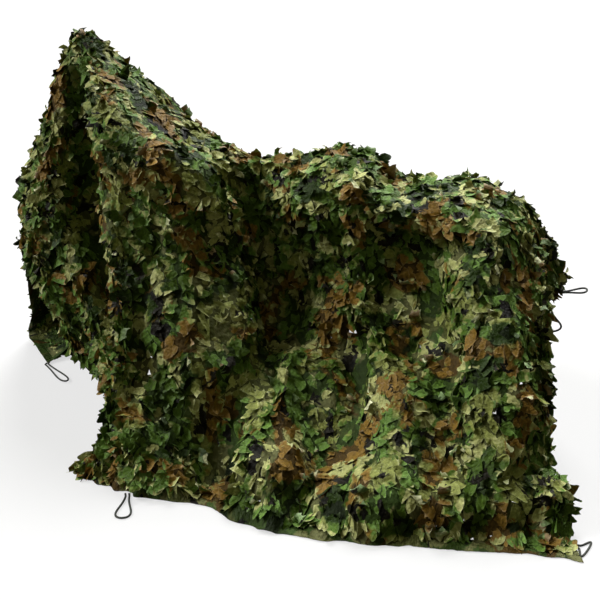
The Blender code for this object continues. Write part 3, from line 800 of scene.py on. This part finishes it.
def cord_tube(name, route):
    """A round tube: rings square to the route, turned as little as can be from one to the next."""
    ahead = np.gradient(route, axis=0)
    ahead /= np.linalg.norm(ahead, axis=1, keepdims=True)
    side = np.cross(ahead[0], (0.0, 0.0, 1.0))
    sides = []
    for direction in ahead:
        side = side - direction * side.dot(direction)
        side = side / np.linalg.norm(side)
        sides.append(side)
    sides = np.array(sides)
    rise = np.cross(ahead, sides)
    angle = np.linspace(0.0, 2 * np.pi, CORD_SIDES, endpoint=False)
    ring = (np.cos(angle)[None, :, None] * sides[:, None]
            + np.sin(angle)[None, :, None] * rise[:, None])
    points = (route[:, None] + CORD_DIAMETER / 2 * ring).reshape(-1, 3)
    n = np.arange(len(route) * CORD_SIDES).reshape(-1, CORD_SIDES)
    after = np.roll(n, -1, axis=1)
    faces = np.stack([n[:-1], after[:-1], after[1:], n[1:]], axis=-1).reshape(-1, 4)
    k = np.arange(CORD_SIDES // 2 - 1)
    cap = np.stack([k, k + 1, CORD_SIDES - 2 - k, CORD_SIDES - 1 - k], axis=-1)
    faces = np.concatenate([faces, n[0][cap[:, ::-1]], n[-1][cap]])
    run = np.concatenate([[0.0], np.cumsum(np.linalg.norm(np.diff(route, axis=0), axis=1))])
    uv = np.stack(np.broadcast_arrays(run[:, None], angle[None, :] / (2 * np.pi)), axis=-1)
    return make_mesh(name, points, faces, uv.reshape(-1, 2)), float(run[-1])


# ---- materials
def linear(hexed):
    """An sRGB hex colour as linear numbers with full alpha."""
    value = np.array([int(hexed[k:k + 2], 16) for k in (1, 3, 5)]) / 255
    value = np.where(value <= 0.04045, value / 12.92, ((value + 0.055) / 1.055)**2.4)
    return (*value.tolist(), 1.0)


def fill(tree, node, inputs):
    """Give a node its inputs: numbers, colours, outputs, or nodes for their first output."""
    for key, value in inputs.items():
        if isinstance(value, bpy.types.Node):
            value = value.outputs[0]
        if isinstance(value, bpy.types.NodeSocket):
            tree.links.new(value, node.inputs[key])
        else:
            node.inputs[key].default_value = value


def add_node(tree, kind, inputs, **settings):
    """A shader node of that kind with its inputs and settings."""
    node = tree.nodes.new("ShaderNode" + kind)
    for key, value in settings.items():
        setattr(node, key, value)
    fill(tree, node, inputs)
    return node


def new_material(name):
    """A material of that name, its tree of nodes and its shader."""
    material = bpy.data.materials.new(name)
    material.use_nodes = True
    return material, material.node_tree, material.node_tree.nodes["Principled BSDF"]


# The print's patches, painted one over another: colour, its patches' size in millimetres, how far
# the pattern is moved, the noise above which it shows, and how soft its edge is
PRINT_LAYERS = (
    ("#27390B", 210, (3.1, 7.7), 0.530, 0.030),
    ("#858C49", 185, (11.3, 2.9), 0.550, 0.024),
    ("#7B6026", 185, (5.9, 17.1), 0.560, 0.018),
    ("#5D7C33", 115, (23.7, 9.1), 0.580, 0.030),
    ("#A6A96A", 92, (31.9, 21.3), 0.600, 0.030),
    ("#1B190F", 85, (17.3, 5.3), 0.662, 0.012),
)
PRINT_GROUND = "#48611D"
# The patches' edges are ragged by a noise of 45 mm: its cells to a metre, and how far it moves them
RAGGED_PER_METRE = 22.0
RAGGED_SHIFT = 0.05
# Uneven dye, in blots of 12 mm: its cells to a metre, which part of the noise counts, and how dark
# and how light it goes
MOTTLE_PER_METRE = 85.0
MOTTLE_NOISE = (0.3, 0.7)
MOTTLE_LIGHT = (0.78, 1.22)
# Small creases of 11 mm, and the weave: its bands are 7.9 mm apart both ways, which is 5.6 mm
# square across them. How high the weave is beside the creases, and how high both are, in metres.
CREASES_PER_METRE = 90.0
WEAVE_SCALE = 1000.0 / 12.6
WEAVE_SHARE = 0.05
RELIEF = 0.006
RELIEF_STRENGTH = 0.85
# How much a leaf's own tone lightens it, what its paler back does to saturation and brightness,
# what its pale edge does to them, partly its melted cut and partly a painted highlight, and how
# sharply and how strongly that edge shows
TONE_SHARE = 0.08
BACK_PALER = (0.7, 1.35)
EDGE_MELT_AND_HIGHLIGHT = (0.75, 1.6)
EDGE_MELT_AND_HIGHLIGHT_SHARPNESS = 6.0
EDGE_MELT_AND_HIGHLIGHT_STRENGTH = 0.72
# The specular level of matt threads, which scatter most of their shine
CLOTH_SHINE = 0.15
# The cord's braid: waves along it and round it, which puts a strand each 3.8 mm, and its relief
BRAID_WAVES = (333.0, 6.0, 1.0)
BRAID_SCALE = 0.5
BRAID_STRENGTH = 0.6
BRAID_RELIEF = 0.001
CORD_DARK = "#1A1D16"
CORD_LIGHT = "#2E3228"
CORD_ROUGHNESS = 0.55


def camouflage_print(tree, place):
    """The printed pattern at a place in metres: soft-edged blots, each from a noise of its own."""
    warp = add_node(tree, "TexNoise", {"Vector": place, "Scale": RAGGED_PER_METRE, "Detail": 2.0},
                    noise_dimensions="2D")
    shift = add_node(tree, "VectorMath", {0: warp.outputs["Color"], 1: (0.5, 0.5, 0.5)},
                     operation="SUBTRACT")
    ragged = add_node(tree, "VectorMath",
                      {0: shift, 1: (RAGGED_SHIFT, RAGGED_SHIFT, 0.0), 2: place},
                      operation="MULTIPLY_ADD")
    colour = linear(PRINT_GROUND)
    for hexed, size, moved, level, soft in PRINT_LAYERS:
        spot = add_node(tree, "Mapping", {"Vector": ragged, "Location": (*moved, 0.0)})
        noise = add_node(tree, "TexNoise",
                         {"Vector": spot, "Scale": 1000.0 / size, "Detail": 2.5, "Roughness": 0.5},
                         noise_dimensions="2D")
        shown = add_node(tree, "MapRange",
                         {"Value": noise.outputs["Fac"], "From Min": level - soft,
                          "From Max": level + soft}, interpolation_type="SMOOTHSTEP")
        colour = add_node(tree, "Mix", {0: shown, 6: colour, 7: linear(hexed)},
                          data_type="RGBA").outputs[2]
    return colour


def leaf_colour(tree, colour):
    """The colour of a leaf: paler where its back shows, and paler still on its edge.

    The pale edge is partly the melted cut and partly a painted highlight.
    """
    back = add_node(tree, "Attribute", {}, attribute_name="back").outputs["Fac"]
    washed = add_node(tree, "HueSaturation",
                      {"Color": colour, "Saturation": BACK_PALER[0], "Value": BACK_PALER[1],
                       "Fac": back})
    # The leaf's rim is made paler: partly its melted cut edge, partly a painted highlight.
    rim = add_node(tree, "Attribute", {}, attribute_name="rim").outputs["Fac"]
    sharp = add_node(tree, "Math", {0: rim, 1: EDGE_MELT_AND_HIGHLIGHT_SHARPNESS}, operation="POWER")
    edge_melt_and_highlight = add_node(tree, "Math", {0: sharp, 1: EDGE_MELT_AND_HIGHLIGHT_STRENGTH}, operation="MULTIPLY")
    return add_node(tree, "HueSaturation",
                    {"Color": washed, "Saturation": EDGE_MELT_AND_HIGHLIGHT[0], "Value": EDGE_MELT_AND_HIGHLIGHT[1],
                     "Fac": edge_melt_and_highlight})


def cloth_finish(name, roughness, leaf, painted_shade_lightness=1.0):
    """Printed woven polyester: a close dull weave with a slight shine on its bends.

    The weave has 0.5 mm threads, drawn at 5.6 mm so that it shows. Leaves differ in tone, their
    cut edges are drawn pale, partly as melted edges and partly as a painted highlight, and where
    one turns over its paler, less printed back shows. The cloth and its binding are darkened by
    painted shade, for the shade that the real net's closer leaves cast on them.
    """
    material, tree, shader = new_material(name)
    place = add_node(tree, "UVMap", {}, uv_map="cloth").outputs[0]
    mottle = add_node(tree, "TexNoise",
                      {"Vector": place, "Scale": MOTTLE_PER_METRE, "Detail": 3.0},
                      noise_dimensions="2D")
    # The lightness below darkens the cut cloth and the binding as painted shade, for the shade that
    # closer leaves cast on them.
    level = add_node(tree, "MapRange",
                     {"Value": mottle.outputs["Fac"], "From Min": MOTTLE_NOISE[0],
                      "From Max": MOTTLE_NOISE[1], "To Min": MOTTLE_LIGHT[0] * painted_shade_lightness,
                      "To Max": MOTTLE_LIGHT[1] * painted_shade_lightness})
    if leaf:
        tone = add_node(tree, "Attribute", {}, attribute_name="tone").outputs["Fac"]
        toned = add_node(tree, "Math", {0: tone, 1: TONE_SHARE, 2: 1.0},
                         operation="MULTIPLY_ADD")
        level = add_node(tree, "Math", {0: level, 1: toned}, operation="MULTIPLY")
    colour = add_node(tree, "HueSaturation",
                      {"Color": camouflage_print(tree, place), "Value": level})
    if leaf:
        colour = leaf_colour(tree, colour)
    crease = add_node(tree, "TexNoise",
                      {"Vector": place, "Scale": CREASES_PER_METRE, "Detail": 2.0},
                      noise_dimensions="2D")
    weave = add_node(tree, "TexWave", {"Vector": place, "Scale": WEAVE_SCALE},
                     wave_type="BANDS", bands_direction="DIAGONAL")
    height = add_node(tree, "Math",
                      {0: weave.outputs["Fac"], 1: WEAVE_SHARE, 2: crease.outputs["Fac"]},
                      operation="MULTIPLY_ADD")
    bump = add_node(tree, "Bump",
                    {"Height": height, "Strength": RELIEF_STRENGTH, "Distance": RELIEF})
    fill(tree, shader, {"Base Color": colour, "Normal": bump, "Roughness": roughness,
                        "Specular IOR Level": CLOTH_SHINE})
    return material


def cord_finish():
    """Braided polypropylene cord: dark and half dull, with a diagonal braid."""
    material, tree, shader = new_material("braided_cord")
    place = add_node(tree, "UVMap", {}, uv_map="cloth")
    scaled = add_node(tree, "VectorMath", {0: place, 1: BRAID_WAVES}, operation="MULTIPLY")
    weave = add_node(tree, "TexWave", {"Vector": scaled, "Scale": BRAID_SCALE},
                     wave_type="BANDS", bands_direction="DIAGONAL").outputs["Fac"]
    shade = add_node(tree, "Mix", {0: weave, 6: linear(CORD_DARK), 7: linear(CORD_LIGHT)},
                     data_type="RGBA").outputs[2]
    bump = add_node(tree, "Bump",
                    {"Height": weave, "Strength": BRAID_STRENGTH, "Distance": BRAID_RELIEF})
    fill(tree, shader, {"Base Color": shade, "Normal": bump, "Roughness": CORD_ROUGHNESS})
    return material


# ---- studio
FLOOR_COLOUR = "#888888"
FLOOR_GLOW = 0.62
# The middle of the shaded floor under the net, half of its length and width, and from which share
# of them the glow comes in
SHADED_MIDDLE = (0.25, 0.0, 0.0)
SHADED_FLOOR = (0.68, 0.78)
SHADED_SHARE = 0.88
# Half the floor's side, and the backdrop's half side, foot and top
FLOOR_REACH = 90
ROOM_REACH = 89
ROOM_HEIGHTS = (-30, 80)
# The light from the world's two halves, how far the change between them reaches, and its colour
LIGHT_FROM_ABOVE = 0.13
LIGHT_FROM_BELOW = 0.06
HALVES_BLEND = 0.05
SKY_COLOUR = (1.0, 0.94, 0.62, 1.0)
BLACK = (0.0, 0.0, 0.0, 1.0)
WHITE = (1.0, 1.0, 1.0, 1.0)
# Each soft sun: how high it stands, its bearing from the near side towards the rear, in degrees,
# its strength and how wide it is, in degrees
SUNS = (
    ("back", 55, 180, 4.8, 32),
    ("front", 42, 285, 3.0, 30),
)
# Where the camera stands, in the drape's own metres, how it is turned, in degrees, and its lens
CAMERA_PLACE = (0.9794, -3.2036, 1.66)
CAMERA_TURN = (70, 0, 17)
LENS_MM = 54.0
SENSOR_MM = 36.0


def studio(offset):
    """A white floor and backdrop, soft light from behind, the front and the sky, and the camera.

    The floor and the backdrop glow by themselves, so shadows on them stay pale, but the floor
    doesn't glow under the net, where it would shine out of the cuts. Light from below comes from
    the lower half of the world instead, so that it can be set apart from them.
    """
    white, tree, shader = new_material("studio_floor")
    place = add_node(tree, "TexCoord", {}).outputs["Object"]
    across = add_node(tree, "VectorMath", {0: place, 1: SHADED_MIDDLE}, operation="SUBTRACT")
    away = add_node(tree, "VectorMath", {0: across}, operation="ABSOLUTE")
    shares = add_node(tree, "VectorMath", {0: away, 1: (*SHADED_FLOOR, 1.0)}, operation="DIVIDE")
    sides = add_node(tree, "SeparateXYZ", {0: shares}).outputs
    farther = add_node(tree, "Math", {0: sides["X"], 1: sides["Y"]}, operation="MAXIMUM")
    glowing = add_node(tree, "MapRange",
                       {"Value": farther, "From Min": SHADED_SHARE, "From Max": 1.0,
                        "To Min": 0.0, "To Max": FLOOR_GLOW})
    fill(tree, shader, {"Base Color": linear(FLOOR_COLOUR), "Roughness": 1.0,
                        "Specular IOR Level": 0.0, "Emission Color": WHITE,
                        "Emission Strength": glowing})
    glow, tree, shader = new_material("studio_backdrop")
    fill(tree, shader, {"Base Color": BLACK, "Specular IOR Level": 0.0, "Emission Color": WHITE,
                        "Emission Strength": 1.0})
    corners = [(-FLOOR_REACH, -FLOOR_REACH, 0), (FLOOR_REACH, -FLOOR_REACH, 0),
               (FLOOR_REACH, FLOOR_REACH, 0), (-FLOOR_REACH, FLOOR_REACH, 0)]
    ground = bpy.data.meshes.new("floor")
    ground.from_pydata(corners, [], [(0, 1, 2, 3)])
    ground.materials.append(white)
    corners = [(x, y, z) for x in (-ROOM_REACH, ROOM_REACH) for y in (-ROOM_REACH, ROOM_REACH)
               for z in ROOM_HEIGHTS]
    walls = [(0, 1, 3, 2), (4, 6, 7, 5), (0, 4, 5, 1), (2, 3, 7, 6), (1, 5, 7, 3)]
    room = bpy.data.meshes.new("backdrop")
    room.from_pydata(corners, [], walls)
    room.materials.append(glow)
    for mesh in (ground, room):
        staged = bpy.data.objects.new(mesh.name, mesh)
        staged.visible_diffuse = staged.visible_glossy = False
        staged.visible_shadow = mesh is ground
        bpy.context.scene.collection.objects.link(staged)

    world = bpy.data.worlds.new("studio")
    world.use_nodes = True
    tree = world.node_tree
    place = add_node(tree, "TexCoord", {}).outputs["Generated"]
    up = add_node(tree, "SeparateXYZ", {0: place}).outputs["Z"]
    strength = add_node(tree, "MapRange",
                        {"Value": up, "From Min": -HALVES_BLEND, "From Max": HALVES_BLEND,
                         "To Min": LIGHT_FROM_BELOW, "To Max": LIGHT_FROM_ABOVE})
    fill(tree, tree.nodes["Background"], {"Strength": strength, "Color": SKY_COLOUR})
    bpy.context.scene.world = world
    for name, height, bearing, energy, angle in SUNS:
        light = bpy.data.lights.new(name, "SUN")
        light.energy = energy
        light.angle = np.radians(angle)
        lamp = bpy.data.objects.new(name, light)
        lamp.rotation_euler = (np.radians(90 - height), 0.0, np.radians(bearing))
        bpy.context.scene.collection.objects.link(lamp)

    lens = bpy.data.cameras.new("camera")
    lens.lens = LENS_MM
    lens.sensor_width = SENSOR_MM
    camera = bpy.data.objects.new("camera", lens)
    camera.location = np.array(CAMERA_PLACE) - offset
    camera.rotation_euler = np.radians(CAMERA_TURN)
    bpy.context.scene.collection.objects.link(camera)
    bpy.context.scene.camera = camera
    bpy.context.scene.view_settings.view_transform = "Standard"


def main():
    """The studio, the loops, the cut cloth, its leaves and its binding, in that order."""
    offset = frame_offset()
    studio(offset)
    leaf_cloth = cloth_finish("printed_leaf_polyester", roughness=0.55, leaf=True)
    # The cut cloth and the binding are drawn darker: painted shade, for the shade of the net's
    # closer leaves.
    painted_shade_ground_cloth = cloth_finish("printed_ground_polyester_painted_shade", roughness=0.70, leaf=False,
                                painted_shade_lightness=0.3)
    painted_shade_binding_cloth = cloth_finish("printed_binding_polyester_painted_shade", roughness=0.60, leaf=False, painted_shade_lightness=0.32)
    cord = cord_finish()
    for name, (reach, span), heading, side, length, width in LOOPS:
        root, outward = loop_root(reach, span)
        route = loop_route(root, outward, heading, side, length, width) - offset
        mesh, run = cord_tube(name + "_cord", route)
        piece = add_piece(name + "_cord", mesh, cord, [name])
        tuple(route[0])
    cloth = Cloth(offset)
    mesh, area = cut_cloth(cloth)
    net = add_piece("net_cloth", mesh, painted_shade_ground_cloth, ["net"])
    parts = [add_piece(name, mesh, leaf_cloth) for name, mesh in leaf_meshes(cloth)]
    for name, start, end, inward in BINDINGS:
        strip = binding_strip(cloth, name + "_strip", start, end, inward)
        parts.append(add_piece(name + "_strip", strip, painted_shade_binding_cloth, [name]))


main()
